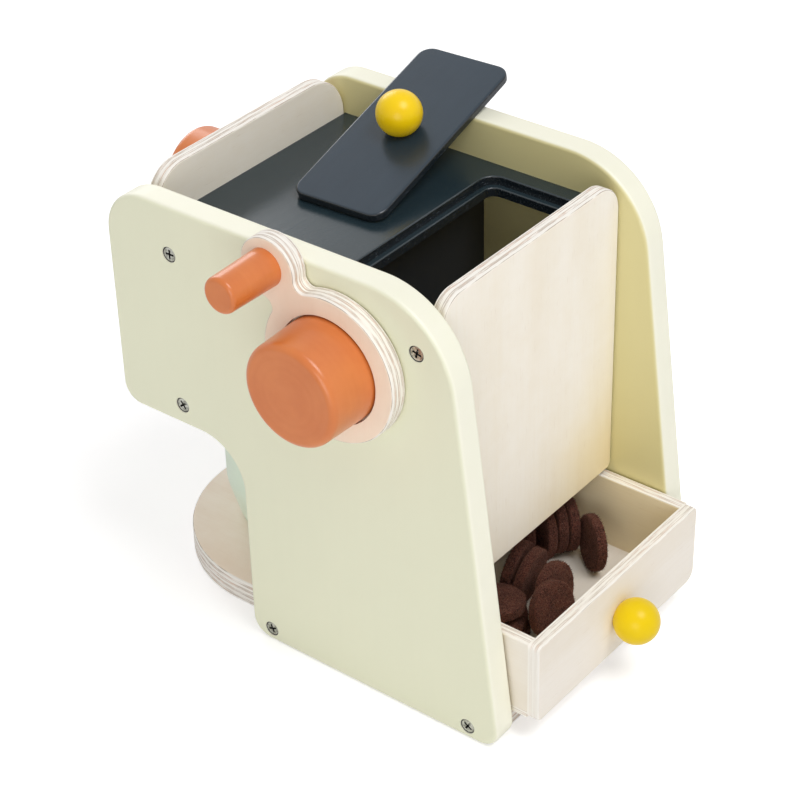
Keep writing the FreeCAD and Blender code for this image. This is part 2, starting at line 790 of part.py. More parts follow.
def felt_beans():
    """Felt discs that lie in the drawer: a row on edge and a loose heap."""
    discs = []
    turn = math.radians(felt_row_heading)
    pitch = felt_thickness + felt_row_gap
    row_x, row_y = felt_place(*felt_row_start)
    for i in range(felt_row_count):
        x = row_x + pitch * i * math.cos(turn)
        y = row_y + pitch * i * math.sin(turn)
        discs.append(felt_disc_on_floor(x, y, felt_row_heading, felt_row_lean, 0.0))
    for across, inwards, heading, lean, rise in felt_places:
        x, y = felt_place(across, inwards)
        discs.append(felt_disc_on_floor(x, y, heading, lean, rise * felt_thickness))
    return discs


nodes = {
    "side_panel_left": side_panel(-1),
    "side_panel_right": side_panel(1),
    "base_board": base_board(),
    "front_panel": front_panel(),
    "head_floor": head_floor(),
    "column_panel": column_panel(),
    "deck": deck(),
    "hopper_divider": hopper_divider(),
    "back_panel": back_panel(),
    "front_panel_dowels": Part.makeCompound(panel_dowels()),
    "side_screws_left": side_screws(-1),
    "side_screws_right": side_screws(1),
    "crank_plate": crank_plate(),
    "crank_hub": crank_hub(),
    "crank_grip": crank_grip(),
    "crank_grip_dowel": crank_grip_dowel(),
    "crank_axle": crank_axle(),
    "crank_collar": crank_collar(),
    "dial_knob": dial_knob(),
    "dial_axle": dial_axle(),
    "dial_washer": dial_washer(),
    "dial_screw": dial_screw(),
    "lid_board": lid_board(),
    "lid_knob": lid_knob(),
    "lid_knob_screw": lid_knob_screw(),
    "drawer_face": drawer_face(),
    "drawer_back": drawer_back(),
    "drawer_side_left": drawer_side(-1),
    "drawer_side_right": drawer_side(1),
    "drawer_floor": drawer_floor(),
    "drawer_knob": drawer_knob(),
    "drawer_knob_screw": drawer_knob_screw(),
    "cup": cup(),
    "felt_beans": Part.makeCompound(felt_beans()),
}

for name, shape in nodes.items():
    shape.exportStep("parts/" + name + ".step")
    state = "valid" if shape.isValid() else "INVALID"
    print(name, len(shape.Solids), "solids", round(shape.Volume), "mm3", state)
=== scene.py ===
# %% [markdown]
# A wooden toy coffee maker, finished.
# The model arrives with every board, knob and screw at its real size and place. What is left is what
# the eye sees: paint over wood, bare plywood with its layers, turned and lacquered knobs, plated
# screws and pressed felt. Each finish is built from noise and simple rules, so it needs no pictures.

# %% Load the model as a fixed frame
import math
import bmesh
import bpy
import numpy as np
from mathutils import Matrix, Vector


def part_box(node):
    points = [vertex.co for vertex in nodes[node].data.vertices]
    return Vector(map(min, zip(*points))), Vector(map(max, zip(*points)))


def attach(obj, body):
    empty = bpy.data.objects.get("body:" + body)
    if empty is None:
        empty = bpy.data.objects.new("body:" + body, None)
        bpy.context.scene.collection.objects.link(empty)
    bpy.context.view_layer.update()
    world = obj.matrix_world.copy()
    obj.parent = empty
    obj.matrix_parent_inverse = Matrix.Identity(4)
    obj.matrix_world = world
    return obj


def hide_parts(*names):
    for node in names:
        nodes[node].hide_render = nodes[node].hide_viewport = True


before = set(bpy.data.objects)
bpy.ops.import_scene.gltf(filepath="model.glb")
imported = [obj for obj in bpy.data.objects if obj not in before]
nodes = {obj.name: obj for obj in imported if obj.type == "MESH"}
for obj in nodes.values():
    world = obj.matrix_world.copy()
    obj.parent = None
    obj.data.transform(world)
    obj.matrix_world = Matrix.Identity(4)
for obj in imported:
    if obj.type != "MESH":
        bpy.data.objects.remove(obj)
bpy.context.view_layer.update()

MM = 0.001

# %% [markdown]
# The camera stands where the photographer stood. Its place was worked out from the straight edges of
# the side panels, so it is written as a distance, two angles and a roll about the line of sight.
# A long lens far away would look flatter, and a short one close by would make the front lean out.

# %% Camera at the photograph's angle
IMAGE_SIDE = 800
FOCAL_PIXELS = 2296.4
SENSOR = 36.0
VIEW_AIM = Vector((0.0, 0.001156, 0.092123))
VIEW_DISTANCE = 0.97669
VIEW_AZIMUTH = math.radians(128.864)
VIEW_ELEVATION = math.radians(34.028)
VIEW_ROLL = math.radians(-1.638)


def look_from(azimuth, elevation, roll):
    """Right, up and backward directions of a camera that looks at the object."""
    back = Vector((math.sin(azimuth) * math.cos(elevation), -math.cos(azimuth) * math.cos(elevation),
                   math.sin(elevation)))
    right = (-back).cross(Vector((0, 0, 1))).normalized()
    up = right.cross(-back)
    turned_right = right * math.cos(roll) + up * math.sin(roll)
    turned_up = up * math.cos(roll) - right * math.sin(roll)
    return turned_right, turned_up, back


right, up, back = look_from(VIEW_AZIMUTH, VIEW_ELEVATION, VIEW_ROLL)
camera_data = bpy.data.cameras.new("camera")
camera_data.sensor_width = SENSOR
camera_data.lens = FOCAL_PIXELS / IMAGE_SIDE * SENSOR
camera = bpy.data.objects.new("camera", camera_data)
turned = Matrix((right, up, back)).transposed().to_4x4()
camera.matrix_world = Matrix.Translation(VIEW_AIM + back * VIEW_DISTANCE) @ turned
bpy.context.scene.collection.objects.link(camera)
bpy.context.scene.camera = camera
print("camera with a", round(camera_data.lens, 1), "mm lens")

# %% [markdown]
# A node tree is easier to read when each node is one line. The first helper makes a node, sets its
# options and fills its sockets: a plain value is stored, and another node's output is linked.
# Colours are written as a paint chart gives them, from 0 to 255, and turned into linear light.


# %% Helpers for node trees
def add(tree, kind, inputs=None, **options):
    """One node; inputs maps a socket's name or number to a value or to another socket."""
    node = tree.nodes.new(kind)
    for name, value in options.items():
        setattr(node, name, value)
    for key, value in (inputs or {}).items():
        if isinstance(value, bpy.types.NodeSocket):
            tree.links.new(value, node.inputs[key])
        else:
            node.inputs[key].default_value = value
    return node


def chart(red, green, blue):
    """A colour from a 0 to 255 chart as linear light."""
    def linear(value):
        share = value / 255
        return share / 12.92 if share <= 0.04045 else ((share + 0.055) / 1.055) ** 2.4
    return (linear(red), linear(green), linear(blue), 1.0)


def compute(tree, operation, first, second=0.0, third=0.0):
    """Arithmetic on values or sockets."""
    return add(tree, "ShaderNodeMath", {0: first, 1: second, 2: third}, operation=operation).outputs[0]


def between(tree, value, low, high):
    """0 below low, 1 above high and a smooth step in between."""
    step = add(tree, "ShaderNodeMapRange", {"Value": value, "From Min": low, "From Max": high},
               interpolation_type="SMOOTHSTEP", clamp=True)
    return step.outputs[0]


def blend_colours(tree, share, first, second):
    """Mix two colours by a share from 0 to 1."""
    mix = add(tree, "ShaderNodeMix", {0: share, 6: first, 7: second}, data_type="RGBA")
    return mix.outputs[2]


def product(tree, first, second):
    """Two values multiplied."""
    return compute(tree, "MULTIPLY", first, second)


def rest_of(tree, share):
    """What is left of 1."""
    return compute(tree, "SUBTRACT", 1.0, share)


def merged(tree, first, second, share):
    """A share of the first value and the rest of the second."""
    return compute(tree, "MULTIPLY_ADD", first, share, product(tree, second, 1.0 - share))


def tinted(tree, colour, tint):
    """A colour multiplied by a tint."""
    return add(tree, "ShaderNodeVectorMath", {0: colour, 1: tint}, operation="MULTIPLY").outputs[0]


def noise(tree, place, scale, detail=3.0, roughness=0.55, distortion=0.0):
    """Noise from 0 to 1; scale is in features per metre."""
    made = add(tree, "ShaderNodeTexNoise", {"Vector": place, "Scale": scale, "Detail": detail,
                                            "Roughness": roughness, "Distortion": distortion})
    return made.outputs[0]


def stretched(tree, place, factors):
    """Coordinates squeezed along the grain, so that noise becomes streaks."""
    return add(tree, "ShaderNodeMapping", {"Vector": place, "Scale": factors}).outputs[0]


def new_finish(name):
    """An empty material: its tree, its shader and its object coordinates."""
    finish = bpy.data.materials.new(name)
    finish.use_nodes = True
    tree = finish.node_tree
    tree.nodes.clear()
    output = add(tree, "ShaderNodeOutputMaterial")
    shader = add(tree, "ShaderNodeBsdfPrincipled")
    tree.links.new(shader.outputs[0], output.inputs["Surface"])
    coordinates = add(tree, "ShaderNodeTexCoord")
    return finish, tree, shader, coordinates


def raise_bumps(tree, shader, height, depth):
    """Tilt the surface by a height from 0 to 1 that is depth deep."""
    bump = add(tree, "ShaderNodeBump", {"Height": height, "Distance": depth, "Strength": 1.0})
    tree.links.new(bump.outputs[0], shader.inputs["Normal"])


print("helpers ready")

# %% [markdown]
# All boards but the lid lie along the three axes, and a finish often differs between a board's faces
# and its edges. The surface's own direction tells them apart: along the board's thickness it is a
# face, square to it an edge, and in between it is the rounded arris. Its sign tells inside from
# outside. The lid's faces look nearly straight up and down, so the same rule serves it.
# In all finishes a step is a pair: where a share starts, and where it is whole.


# %% Faces, edges and arrises of a board
X_AXIS, Y_AXIS, Z_AXIS = 0, 1, 2
INNER_STEP = (0.3, 0.9)


def facing(tree, coordinates, axis):
    """How squarely the surface faces along an axis of the board, from 0 to 1."""
    parts = add(tree, "ShaderNodeSeparateXYZ", {0: coordinates.outputs["Normal"]})
    return compute(tree, "ABSOLUTE", parts.outputs[axis])


def inner_face(tree, coordinates, axis, inwards):
    """1 on a board's inner face, which looks along axis the way that inwards' sign says."""
    normal = add(tree, "ShaderNodeSeparateXYZ", {0: coordinates.outputs["Normal"]}).outputs[axis]
    return between(tree, product(tree, normal, inwards), *INNER_STEP)


def along(axis, fine, coarse):
    """Mapping factors with coarse along the grain's axis and fine across it."""
    return tuple(coarse if i == axis else fine for i in range(3))


print("board rules ready")

# %% [markdown]
# Sprayed paint on wood is never one flat colour. It pools a little, the grain shows through as very
# faint ridges, and the spray leaves a fine orange-peel skin. On routed edges the coat is thinner and
# sanded back, and the paler colour there is also a painted highlight of the light from above. The
# faces that look inwards are painted yellower, a painted shade for the light the two side panels throw
# on each other. Noise gives all of it, with no edge, no seam and no lost detail close up.


# %% Satin paint over wood
# Noise scales are in features per metre. A squeeze multiplies the coordinate along the grain, so a
# small one gives long streaks.
PAINT_CLOUDS, PAINT_STREAKS, SPRAY_SKIN, EDGE_WEAR_AND_SHADING = 16.0, 240.0, 1300.0, 120.0
STREAK_SQUEEZE = 0.05
STREAK_SHARE = 0.4
SKIN_SHARE = 0.4
GLOSS_SPREAD = 0.08
WEAR_AND_SHADING_SPREAD, LEAST_WEAR_AND_SHADING = 0.3, 0.75
TONE_STEP = (0.3, 0.7)
ARRIS_STEP = (0.45, 0.97)


def satin_paint(name, colour, edge_colour, roughness, grain_axis, thickness_axis, shade=0.012,
                ridges=0.012 * MM, specular=0.5, inner_shade_colour=None, inwards=1.0):
    """Paint with faint grain along grain_axis, and an edge_colour off the board's faces."""
    finish, tree, shader, coordinates = new_finish(name)
    place = coordinates.outputs["Object"]
    cloud = noise(tree, place, PAINT_CLOUDS, 3.0)
    grain = stretched(tree, place, along(grain_axis, 1.0, STREAK_SQUEEZE))
    streaks = noise(tree, grain, PAINT_STREAKS, 4.0, 0.55, 0.3)
    skin = noise(tree, place, SPRAY_SKIN, 2.0)
    # Painted shade: inner faces turn yellower, as the two side panels light each other yellow.
    if inner_shade_colour:
        inside = inner_face(tree, coordinates, thickness_axis, inwards)
        colour = blend_colours(tree, inside, colour, inner_shade_colour)
    tone = between(tree, merged(tree, streaks, cloud, STREAK_SHARE), *TONE_STEP)
    dim = compute(tree, "MULTIPLY_ADD", tone, shade, 1.0 - shade)
    # Edges get edge_colour: a painted highlight on the pale sides, a painted shade on slate.
    squareness = facing(tree, coordinates, thickness_axis)
    off_face = rest_of(tree, between(tree, squareness, *ARRIS_STEP))
    wear_and_shading_noise = noise(tree, place, EDGE_WEAR_AND_SHADING, 3.0)
    edge_wear_and_shading = compute(tree, "MULTIPLY_ADD", wear_and_shading_noise, WEAR_AND_SHADING_SPREAD, LEAST_WEAR_AND_SHADING)
    base = blend_colours(tree, product(tree, off_face, edge_wear_and_shading), colour, edge_colour)
    shaded = add(tree, "ShaderNodeVectorMath", {0: base, "Scale": dim}, operation="SCALE").outputs[0]
    tree.links.new(shaded, shader.inputs["Base Color"])
    spread = compute(tree, "MULTIPLY_ADD", cloud, GLOSS_SPREAD, roughness - GLOSS_SPREAD / 2)
    tree.links.new(spread, shader.inputs["Roughness"])
    shader.inputs["Specular IOR Level"].default_value = specular
    raise_bumps(tree, shader, merged(tree, skin, streaks, SKIN_SHARE), ridges)
    return finish


PAINT = chart(236, 236, 208)
# The paler edge colour is thinner, sanded paint and a painted highlight together.
PAINT_EDGE_WEAR_AND_HIGHLIGHT = chart(246, 244, 226)
# The yellower inner colour is painted shade.
PAINT_INSIDE_SHADE = chart(224, 214, 158)
PAINT_ROUGHNESS = 0.42
side_paint = {
    side: satin_paint("pale_yellow_paint_" + side, PAINT, PAINT_EDGE_WEAR_AND_HIGHLIGHT, PAINT_ROUGHNESS, Z_AXIS, X_AXIS,
                      inner_shade_colour=PAINT_INSIDE_SHADE, inwards=inwards)
    for side, inwards in (("left", 1.0), ("right", -1.0))
}
print("made", len(side_paint), "side paints")

# %% [markdown]
# The deck, the lid and the hopper's wall are dark slate with a smoother coat, so they mirror the room
# softly. The brush leaves a fine texture. The edges of the deck and the lid are painted near black, a
# painted shade; the rebate's cut edges among them were sanded and show pale specks: a second rule
# sprinkles those where the surface doesn't face up.
# The hopper's wall is out of the light and plainer, so it gets no specks.


# %% Dark slate paint
# The slate edge colour is painted shade: edges darker than the faces.
SLATE_EDGE_SHADE = chart(24, 30, 36)
SLATE_SPECK = chart(150, 158, 164)
SLATE_SHADE = 0.14
BRUSH_DEPTH = 0.06 * MM
SPECK_GRAINS, SPECK_PATCHES = 1300.0, 90.0
SPECK_SQUEEZE = 0.35
CUT_STEP, SPECK_STEP, PATCH_STEP = (0.5, 0.98), (0.54, 0.68), (0.30, 0.56)


def slate_paint(name, colour, edge_colour, grain_axis, roughness, speck_share):
    """Dark glossy paint with pale specks on the routed edges."""
    finish = satin_paint(name, colour, edge_colour, roughness, grain_axis, Z_AXIS, SLATE_SHADE,
                         BRUSH_DEPTH)
    tree = finish.node_tree
    shader = next(node for node in tree.nodes if node.type == "BSDF_PRINCIPLED")
    coordinates = next(node for node in tree.nodes if node.type == "TEX_COORD")
    place = coordinates.outputs["Object"]
    edge = rest_of(tree, between(tree, facing(tree, coordinates, Z_AXIS), *CUT_STEP))
    brushed = stretched(tree, place, along(grain_axis, 1.0, SPECK_SQUEEZE))
    grains = between(tree, noise(tree, brushed, SPECK_GRAINS, 5.0, 0.75), *SPECK_STEP)
    patches = between(tree, noise(tree, place, SPECK_PATCHES, 2.0), *PATCH_STEP)
    specks = product(tree, product(tree, grains, patches), edge)
    before = shader.inputs["Base Color"].links[0].from_socket
    speckled = blend_colours(tree, product(tree, specks, speck_share), before, SLATE_SPECK)
    tree.links.new(speckled, shader.inputs["Base Color"])
    return finish


DIVIDER_PAINT = chart(44, 47, 52)
deck_paint = slate_paint("slate_paint_deck", chart(38, 53, 60), SLATE_EDGE_SHADE, X_AXIS, roughness=0.22,
                         speck_share=0.3)
lid_paint = slate_paint("slate_paint_lid", chart(28, 47, 62), SLATE_EDGE_SHADE, X_AXIS, roughness=0.21,
                        speck_share=0.15)
divider_paint = slate_paint("slate_paint_divider", DIVIDER_PAINT, DIVIDER_PAINT, Z_AXIS, roughness=0.4,
                            speck_share=0.0)
print("made", deck_paint.name + ",", lid_paint.name, "and", divider_paint.name)

# %% [markdown]
# Turned knobs show rings rather than straight grain: the chisel leaves faint circles round the axis.
# The paint follows them. The distance from the turning axis gives the rings on the flat end, and the
# distance along the axis gives them on the round side.


# %% Lacquer on turned wood
TURNING_RINGS, LACQUER_CLOUDS, LACQUER_SKIN = 520.0, 60.0, 1100.0
RING_SHARE = 0.2
RING_HEIGHT_SHARE = 0.4
LACQUER_SPREAD = 0.12
LACQUER_DEPTH = 0.014 * MM
COAT_ROUGHNESS = 0.2


def turned_lacquer(name, colour, deep, roughness, axis, node, coat, specular=0.5):
    """Lacquer with faint turning rings about an axis through the middle of a CAD node."""
    finish, tree, shader, coordinates = new_finish(name)
    low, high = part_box(node)
    place = add(tree, "ShaderNodeVectorMath", {0: coordinates.outputs["Object"], 1: (low + high) / 2},
                operation="SUBTRACT").outputs[0]
    parts = add(tree, "ShaderNodeSeparateXYZ", {0: place})
    squares = [compute(tree, "POWER", parts.outputs[i], 2.0) for i in range(3) if i != axis]
    radius = compute(tree, "SQRT", compute(tree, "ADD", *squares))
    swept = add(tree, "ShaderNodeCombineXYZ", {0: radius, 1: parts.outputs[axis], 2: 0.0}).outputs[0]
    rings = noise(tree, swept, TURNING_RINGS, 3.0, 0.5)
    cloud = noise(tree, place, LACQUER_CLOUDS, 3.0)
    skin = noise(tree, place, LACQUER_SKIN, 2.0)
    tone = between(tree, merged(tree, rings, cloud, RING_SHARE), *TONE_STEP)
    tree.links.new(blend_colours(tree, tone, deep, colour), shader.inputs["Base Color"])
    spread = compute(tree, "MULTIPLY_ADD", cloud, LACQUER_SPREAD, roughness - LACQUER_SPREAD / 2)
    tree.links.new(spread, shader.inputs["Roughness"])
    shader.inputs["Specular IOR Level"].default_value = specular
    shader.inputs["Coat Weight"].default_value = coat
    shader.inputs["Coat Roughness"].default_value = COAT_ROUGHNESS
    raise_bumps(tree, shader, merged(tree, rings, skin, RING_HEIGHT_SHARE), LACQUER_DEPTH)
    return finish


ORANGE, ORANGE_DEEP = chart(219, 126, 62), chart(211, 115, 52)
YELLOW, YELLOW_DEEP = chart(252, 214, 0), chart(249, 206, 0)
# The drawer's ball takes a darker copy of the same yellow: painted shade.
YELLOW_SHADED = chart(238, 203, 0)
MINT, MINT_DEEP = chart(228, 242, 222), chart(223, 238, 217)
orange_lacquer = {
    knob: turned_lacquer("orange_" + knob, ORANGE, ORANGE_DEEP, 0.34, axis, node, coat=0.25)
    for knob, node, axis in (("hub", "crank_hub", X_AXIS), ("grip", "crank_grip", X_AXIS),
                             ("dial", "dial_knob", Y_AXIS))
}
lid_ball_lacquer = turned_lacquer("yellow_lid_ball", YELLOW, YELLOW_DEEP, 0.33, Z_AXIS, "lid_knob",
                                  coat=0.1, specular=0.3)
drawer_ball_lacquer = turned_lacquer("yellow_drawer_ball", YELLOW_SHADED, YELLOW_SHADED, 0.33, Y_AXIS,
                                     "drawer_knob", coat=0.08, specular=0.22)
cup_lacquer = turned_lacquer("mint_cup", MINT, MINT_DEEP, 0.4, Z_AXIS, "cup", coat=0.15)
print("made", len(orange_lacquer) + 3, "lacquers")

# %% [markdown]
# Plywood is thin sheets of birch, glued with the grain crossing from one sheet to the next. On a face
# only one sheet shows, pale with fine pores. On a sanded edge every sheet shows as a stripe: nearly
# white where its grain runs along the edge, a little greyer and streaky where it is cut across, and
# between them a hair of glue. The stripes follow the board's thickness, so they stay right on rounded
# corners and on the crank's lobe.


# %% One sheet of veneer
PALE = chart(251, 245, 234)
WARM = chart(243, 233, 214)
PORE = chart(205, 184, 158)
GRAIN_BANDS, GRAIN_LINES, PORES, MOTTLE = 26.0, 700.0, 1500.0, 150.0
BAND_SQUEEZE, LINE_SQUEEZE, PORE_SQUEEZE = 0.15, 0.03, 0.09
MOTTLE_SHARE, LINE_SHARE, PORE_SHARE = 0.2, 0.22, 0.2
BAND_STEP, LINE_STEP, PORE_STEP = (0.32, 0.84), (0.42, 0.72), (0.62, 0.76)
PORE_PIT = 0.6


def veneer(tree, place, grain_axis, pale, warm, pore):
    """Colour and height of one birch sheet."""
    banded = stretched(tree, place, along(grain_axis, 1.0, BAND_SQUEEZE))
    lined = stretched(tree, place, along(grain_axis, 1.0, LINE_SQUEEZE))
    pitted = stretched(tree, place, along(grain_axis, 1.0, PORE_SQUEEZE))
    broad = noise(tree, banded, GRAIN_BANDS, 3.0, 0.5, 0.6)
    fine = noise(tree, lined, GRAIN_LINES, 5.0, 0.65)
    pores = between(tree, noise(tree, pitted, PORES, 3.0), *PORE_STEP)
    tone = merged(tree, noise(tree, place, MOTTLE, 3.0), broad, MOTTLE_SHARE)
    body = blend_colours(tree, between(tree, tone, *BAND_STEP), pale, warm)
    lines = product(tree, between(tree, fine, *LINE_STEP), LINE_SHARE)
    grained = blend_colours(tree, lines, body, warm)
    colour = blend_colours(tree, product(tree, pores, PORE_SHARE), grained, pore)
    height = compute(tree, "SUBTRACT", fine, product(tree, pores, PORE_PIT))
    return colour, height


print("veneer rule ready")

# %% [markdown]
# On an edge the distance through the board, counted in sheets, says which sheet the point is on. Every
# second sheet is cut across its grain. A slow noise added to the count lets the lines of glue wander.


# %% A board's edge
EDGE_PALE = chart(248, 243, 235)
EDGE_GREY = chart(196, 182, 168)
EDGE_PINK = chart(212, 180, 158)
GLUE = chart(140, 116, 98)
EDGE_STREAKS, EDGE_WANDER, EDGE_PATCHES = 1900.0, 60.0, 110.0
WANDER_SHARE = 0.3
PINK_STEP, CUT_STREAK_STEP = (0.42, 0.66), (0.40, 0.58)
GLUE_STEP, GLUE_STREAK_STEP = (0.40, 0.49), (0.38, 0.60)
CROSSING_DIP = 0.4


def sheet_stripes(tree, place, thickness_axis, start, thickness, sheets, contrast):
    """Colour and height of a plywood edge whose sheets lie across thickness_axis."""
    parts = add(tree, "ShaderNodeSeparateXYZ", {0: place})
    factors = tuple(1.0 if i == thickness_axis else STREAK_SQUEEZE for i in range(3))
    streak = noise(tree, stretched(tree, place, factors), EDGE_STREAKS, 4.0, 0.65)
    wander = product(tree, noise(tree, place, EDGE_WANDER, 2.0), WANDER_SHARE)
    depth = compute(tree, "SUBTRACT", parts.outputs[thickness_axis], start)
    count = compute(tree, "ADD", compute(tree, "DIVIDE", depth, thickness / sheets), wander)
    crossing = compute(tree, "MODULO", compute(tree, "FLOOR", count), 2.0)
    within = compute(tree, "FRACT", count)
    from_middle = compute(tree, "ABSOLUTE", compute(tree, "SUBTRACT", within, 0.5))
    patch = between(tree, noise(tree, place, EDGE_PATCHES, 3.0), *PINK_STEP)
    cut_across = blend_colours(tree, patch, EDGE_GREY, EDGE_PINK)
    share = product(tree, crossing, between(tree, streak, *CUT_STREAK_STEP))
    stripe = blend_colours(tree, product(tree, share, contrast), EDGE_PALE, cut_across)
    joint = between(tree, from_middle, *GLUE_STEP)
    glue = product(tree, joint, between(tree, streak, *GLUE_STREAK_STEP))
    colour = blend_colours(tree, product(tree, glue, contrast), stripe, GLUE)
    height = compute(tree, "SUBTRACT", streak, product(tree, crossing, CROSSING_DIP))
    return colour, height


print("edge rule ready")

# %% [markdown]
# A board joins the two rules where its surface turns from face to edge. Some boards need more. The
# drawer's walls are bare and tan inside, and their upright ends are filled, so the stripes fade there.
# The back panel gets a painted warm shade in its lower far corner, the yellow light that the far
# side panel throws back, and the tint fades with distance from it.


# %% Birch plywood
BARE_TINT = (1.11, 1.03, 0.78)
# Painted shade: the back panel's lower far corner turns warm and yellow, as the side panel lights it.
CORNER_SHADE_TINT = (0.98, 0.88, 0.62)
CORNER_SHADE_STEP = (10.0 * MM, 85.0 * MM)
CORNER_SHADE_PATCHES, CORNER_SHADE_WANDER = 40.0, 20.0 * MM
FACE_STEP = (0.80, 0.97)
FILLED_CONTRAST = 0.2
EDGE_ROUGHNESS, FACE_ROUGHNESS = 0.7, 0.56
WOOD_SPECULAR = 0.4
WOOD_DEPTH = 0.05 * MM


def plywood(name, node, thickness_axis, grain_axis, sheets, pale, warm, contrast, inwards=0.0,
            shade_corner=None):
    """Plywood for one board: a veneer on its faces and its sheets as stripes on the edges.

    inwards is the sign of the inner face's direction, or 0 for a board that has none. The last
    argument is the corner where a painted warm shade starts and then fades over the faces.
    """
    finish, tree, shader, coordinates = new_finish(name)
    place = coordinates.outputs["Object"]
    low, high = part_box(node)
    start, thickness = low[thickness_axis], high[thickness_axis] - low[thickness_axis]
    face_colour, face_height = veneer(tree, place, grain_axis, pale, warm, PORE)
    if inwards:
        inside = inner_face(tree, coordinates, thickness_axis, inwards)
        face_colour = blend_colours(tree, inside, face_colour, tinted(tree, face_colour, BARE_TINT))
        upright = facing(tree, coordinates, Z_AXIS)
        contrast = compute(tree, "MULTIPLY_ADD", upright, contrast * (1.0 - FILLED_CONTRAST),
                           contrast * FILLED_CONTRAST)
    # Painted shade: a warm tint near the given corner, fading with distance.
    if shade_corner:
        far = add(tree, "ShaderNodeVectorMath", {0: place, 1: shade_corner}, operation="DISTANCE")
        patches = noise(tree, place, CORNER_SHADE_PATCHES, 2.0)
        patchy = compute(tree, "MULTIPLY_ADD", patches, CORNER_SHADE_WANDER, far.outputs["Value"])
        share = rest_of(tree, between(tree, patchy, *CORNER_SHADE_STEP))
        face_colour = blend_colours(tree, share, face_colour, tinted(tree, face_colour, CORNER_SHADE_TINT))
    edge_colour, edge_height = sheet_stripes(tree, place, thickness_axis, start, thickness, sheets,
                                             contrast)
    squareness = between(tree, facing(tree, coordinates, thickness_axis), *FACE_STEP)
    base = blend_colours(tree, squareness, edge_colour, face_colour)
    tree.links.new(base, shader.inputs["Base Color"])
    rough = compute(tree, "MULTIPLY_ADD", squareness, FACE_ROUGHNESS - EDGE_ROUGHNESS, EDGE_ROUGHNESS)
    tree.links.new(rough, shader.inputs["Roughness"])
    shader.inputs["Specular IOR Level"].default_value = WOOD_SPECULAR
    height = add(tree, "ShaderNodeMix", {0: squareness, 2: edge_height, 3: face_height}).outputs[0]
    raise_bumps(tree, shader, height, WOOD_DEPTH)
    return finish


print("plywood rule ready")

# %% [markdown]
# Dowels are bare beech: warm, with short dark flecks along the grain. Only their ends and a little of
# their sides ever show, but a turned or opened toy shows them, so they get their own grain.


# %% Bare beech
BEECH_PALE, BEECH_WARM, BEECH_PORE = chart(222, 190, 150), chart(206, 168, 124), chart(156, 112, 74)
BEECH_FLECK = chart(150, 104, 66)
FLECKS = 900.0
FLECK_SQUEEZE = 0.25
FLECK_STEP = (0.10, 0.22)
FLECK_SHARE = 0.5
BEECH_ROUGHNESS, FLECK_ROUGHER = 0.6, 0.1


def beech(name, grain_axis):
    """Bare beech with short flecks along grain_axis."""
    finish, tree, shader, coordinates = new_finish(name)
    place = coordinates.outputs["Object"]
    colour, height = veneer(tree, place, grain_axis, BEECH_PALE, BEECH_WARM, BEECH_PORE)
    flecked = stretched(tree, place, along(grain_axis, 1.0, FLECK_SQUEEZE))
    cells = add(tree, "ShaderNodeTexVoronoi", {"Vector": flecked, "Scale": FLECKS})
    fleck = rest_of(tree, between(tree, cells.outputs["Distance"], *FLECK_STEP))
    base = blend_colours(tree, product(tree, fleck, FLECK_SHARE), colour, BEECH_FLECK)
    tree.links.new(base, shader.inputs["Base Color"])
    rough = compute(tree, "MULTIPLY_ADD", fleck, FLECK_ROUGHER, BEECH_ROUGHNESS)
    tree.links.new(rough, shader.inputs["Roughness"])
    raise_bumps(tree, shader, height, WOOD_DEPTH)
    return finish


beech_across = beech("beech_dowel_across", X_AXIS)
beech_lengthwise = beech("beech_dowel_lengthwise", Y_AXIS)
print("made two beech finishes")

# %% [markdown]
# Some nodes hold several solids, such as the five screws of a side or the felt discs. Their mesh is
# loose triangles, so a copy is welded, and each solid is found by walking along its edges.

# %% Separate solids of a node
WELD_DISTANCE = 1e-6


def islands(source):
    """Corner points of each separate solid in a CAD node's mesh."""
    copy = bmesh.new()
    copy.from_mesh(source.data)
    bmesh.ops.remove_doubles(copy, verts=copy.verts, dist=WELD_DISTANCE)
    seen = set()
    found = []
    for first in copy.verts:
        if first in seen:
            continue
        seen.add(first)
        group, queue = [], [first]
        while queue:
            vertex = queue.pop()
            group.append(vertex.co.copy())
            for edge in vertex.link_edges:
                other = edge.other_vert(vertex)
                if other not in seen:
                    seen.add(other)
                    queue.append(other)
        found.append(np.array(group, float))
    copy.free()
    return sorted(found, key=lambda points: tuple(points.mean(0).round(5)))


print("the screws of one side are", len(islands(nodes["side_screws_left"])), "solids")

# %% [markdown]
# The screws are zinc plated steel, scratched by the driver. Metal shows its colour only in what it
# mirrors, so the roughness carries the rubbing. A sunk head stands in its own shadow, and its cross
# lies in shade. Both are too small for the lamps to draw, so a rule paints that shade: it darkens the
# cross, which doesn't face outwards, and a thin ring at the head's rim, found from the distance to the
# nearest screw.


# %% Plated steel
ZINC_DULL, ZINC_BRIGHT = chart(150, 150, 138), chart(206, 206, 196)
# Painted shade for the sunk heads' rims and crosses.
STEEL_SHADE = chart(52, 50, 52)
STEEL_DARK_ROUGHNESS = 0.7
ZINC_CLOUDS, SCRATCHES = 700.0, 3200.0
SCRATCH_SQUEEZE = 0.08
HEAD_RIM_STEP = (2.7 * MM, 3.3 * MM)
HEAD_FACE_STEP, ZINC_STEP = (0.75, 0.95), (0.35, 0.65)
ZINC_ROUGHNESS, SCRATCH_ROUGHNESS = 0.2, 0.3
SCRATCH_DEPTH = 0.02 * MM


def head_face(tree, coordinates, centres):
    """1 on the bright faces of screw heads that look along X, 0 in their crosses and at their rims."""
    flat = between(tree, facing(tree, coordinates, X_AXIS), *HEAD_FACE_STEP)
    beside = tinted(tree, coordinates.outputs["Object"], (0.0, 1.0, 1.0))
    nearest = 1.0
    for centre in centres:
        away = add(tree, "ShaderNodeVectorMath", {0: beside, 1: (0.0, centre[1], centre[2])},
                   operation="DISTANCE").outputs["Value"]
        nearest = compute(tree, "MINIMUM", nearest, away)
    rim = between(tree, nearest, *HEAD_RIM_STEP)
    return product(tree, flat, rest_of(tree, rim))


